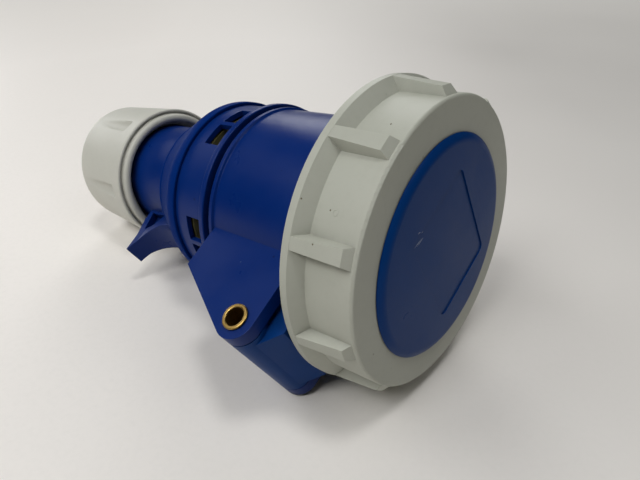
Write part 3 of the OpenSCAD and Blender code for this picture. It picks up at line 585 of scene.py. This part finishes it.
# Small marks: the photograph's pixels at which they show, and their sizes
SCRATCH_PX = [((414.6, 248.6), (421.6, 238.4)), ((417.2, 247.0), (423.6, 236.8)),
              ((418.0, 234.6), (420.4, 231.8)), ((421.6, 233.4), (423.0, 231.4))]
SCRATCH_WIDTH, SCRATCH_HEIGHT = 0.22 * MM, 0.04 * MM
EAR_FLECK_PX = (240.8, 262.0)
EAR_FLECK_RADIUS, EAR_FLECK_HEIGHT = 0.22 * MM, 0.1 * MM
RING_MARK_PX = (335.4, 212.8)
RING_MARK_RADIUS, RING_MARK_WIRE = 0.75 * MM, 0.16 * MM
RING_FLECK_PX = [(330.4, 210.2), (301.4, 198.6), (312.6, 244.4), (391.0, 124.0)]
RING_FLECK_RADIUS, RING_FLECK_HEIGHT = 0.24 * MM, 0.08 * MM
scratches = [stroke("lid", *ends, SCRATCH_WIDTH, SCRATCH_HEIGHT) for ends in SCRATCH_PX]
ear_flecks = [fleck("front_housing", EAR_FLECK_PX, EAR_FLECK_RADIUS, EAR_FLECK_HEIGHT)]
ring_marks = [rim_mark("bayonet_ring", RING_MARK_PX, RING_MARK_RADIUS, RING_MARK_WIRE)]
ring_flecks = [fleck("bayonet_ring", pixel, RING_FLECK_RADIUS, RING_FLECK_HEIGHT) for pixel in RING_FLECK_PX]
# The lid's scratches, whose pale colour is a painted glint
piece("lid_scratches", scratches, pale, "lid_body")
piece("ear_fleck", ear_flecks, worn, "front_body")
piece("ring_mark", ring_marks, grey, "ring_body")
piece("ring_flecks", ring_flecks, dirt, "ring_body")

# Stage: the object's middle, the point of the floor under it, and the floor's half width in m
FLOOR_REACH = 4.0
CENTRE = (cad_low + cad_high) / 2
UP = Vector((0, 0, 1))
ground = Vector((CENTRE.x, CENTRE.y, cad_low.z))
# Distances to the picture's left, in m, between which the floor's colour grows brighter as painted light from the
# left, and its colours there
FLOOR_RIGHT = -0.18
FLOOR_LEFT = 0.2
FLOOR_PAINTED_DIM = rgb(222, 219, 214)
FLOOR_PAINTED_LIT = rgb(252, 247, 241)
# The floor's own patterns, as above, and their colours
FLOOR_CLOUDS = (3.5, 3, 0.5, 0.3, 0.7)
FLOOR_FINE = (500, 3, 0.6, 0.45, 0.8, 0.0, 0.15)
FLOOR_GRAIN = (700, 3, 0.6)
FLOOR_CLOUD = rgb(238, 236, 231)
FLOOR_CLOUD_SHARE = 0.3
FLOOR_SPECK = rgb(222, 220, 214)
FLOOR_ROUGHNESS = (0.5, 0.62)
FLOOR_GLOSS = 0.3
FLOOR_BUMP, FLOOR_RELIEF = 0.05, 0.0002
# Distances from the object, in m, between which the floor passes into the plain backdrop that the camera sees
FLOOR_NEAR = 0.45
FLOOR_FAR = 1.2
BACKDROP = rgb(206, 204, 199)


def floor_material():
    """A pale, faintly clouded sheet, painted brighter to the left as if lit from that side, that fades into the
    backdrop for the camera.
    """
    s = Shader("floor")
    clouds = s.pattern(*FLOOR_CLOUDS)
    leftward = s.vector("DOT_PRODUCT", s.coords, tuple(floor_left))
    # Painted light: the floor's colour brightens towards the left
    colour = s.mix(s.ramp(leftward, FLOOR_RIGHT, FLOOR_LEFT), FLOOR_PAINTED_DIM, FLOOR_PAINTED_LIT)
    colour = s.mix(s.times(clouds, FLOOR_CLOUD_SHARE), colour, FLOOR_CLOUD)
    colour = s.mix(s.pattern(*FLOOR_FINE), colour, FLOOR_SPECK)
    s.set("Base Color", colour)
    s.set("Roughness", s.ramp(clouds, 0, 1, *FLOOR_ROUGHNESS))
    s.set("Specular IOR Level", FLOOR_GLOSS)
    s.bump([(s.noise(*FLOOR_GRAIN), FLOOR_BUMP)], FLOOR_RELIEF)
    away = s.vector("DISTANCE", s.coords, tuple(ground))
    seen = s.add("LightPath").outputs["Is Camera Ray"]
    share = s.times(s.ramp(away, FLOOR_NEAR, FLOOR_FAR), seen)
    plain = s.add("Emission", {"Color": BACKDROP})
    faded = s.add("MixShader", {0: share, 1: s.bsdf.outputs[0], 2: plain.outputs[0]})
    s.tree.links.new(faded.outputs[0], s.out.inputs["Surface"])
    return s.material


def make_floor():
    corners = [ground + FLOOR_REACH * (a * floor_left + b * floor_back)
               for a, b in ((1, -1), (-1, -1), (-1, 1), (1, 1))]
    mesh = bpy.data.meshes.new("floor")
    mesh.from_pydata([tuple(c) for c in corners], [], [tuple(range(len(corners)))])
    mesh.materials.append(floor_material())
    obj = bpy.data.objects.new("floor", mesh)
    scene.collection.objects.link(obj)


make_floor()

# Lamps: name, azimuth from the picture's left towards its back, elevation, size in m, power in W
LAMPS = [
    ("window", 0, 52, 0.6, 3.2),
    ("front_left", 315, 52, 0.6, 6.8),
    ("overhead", 225, 80, 0.3, 3.6),
    ("right", 205, 55, 0.6, 1.1),
    ("rear", 90, 28, 0.6, 3.8),
    ("low_rear", 45, 12, 0.6, 2.2),
]
LAMP_REACH = 1.3


def make_lamp(name, azimuth, elevation, size, power):
    """A round lamp that faces the object from LAMP_REACH away."""
    turn, rise = math.radians(azimuth), math.radians(elevation)
    way = math.cos(rise) * around(turn, floor_left, floor_back) + math.sin(rise) * UP
    data = bpy.data.lights.new(name, "AREA")
    data.shape = "DISK"
    data.size = size
    data.energy = power
    lamp = bpy.data.objects.new(name, data)
    scene.collection.objects.link(lamp)
    lamp.location = CENTRE + LAMP_REACH * way
    lamp.rotation_mode = "QUATERNION"
    lamp.rotation_quaternion = (-way).to_track_quat("-Z", "Y")


for lamp_values in LAMPS:
    make_lamp(*lamp_values)

# World: a faint warm glow; beyond the floor the camera sees a pale backdrop, which lights nothing
GLOW = (1.0, 0.99, 0.97, 1)
GLOW_STRENGTH = 0.01


def make_world():
    world = bpy.data.worlds.new("world")
    scene.world = world
    world.use_nodes = True
    tree = world.node_tree
    glow = tree.nodes["Background"]
    glow.inputs["Color"].default_value = GLOW
    glow.inputs["Strength"].default_value = GLOW_STRENGTH
    backdrop = tree.nodes.new("ShaderNodeBackground")
    backdrop.inputs["Color"].default_value = BACKDROP
    seen = tree.nodes.new("ShaderNodeLightPath")
    choice = tree.nodes.new("ShaderNodeMixShader")
    tree.links.new(seen.outputs["Is Camera Ray"], choice.inputs[0])
    tree.links.new(glow.outputs[0], choice.inputs[1])
    tree.links.new(backdrop.outputs[0], choice.inputs[2])
    tree.links.new(choice.outputs[0], tree.nodes["World Output"].inputs["Surface"])


make_world()
scene.view_settings.view_transform = "Standard"
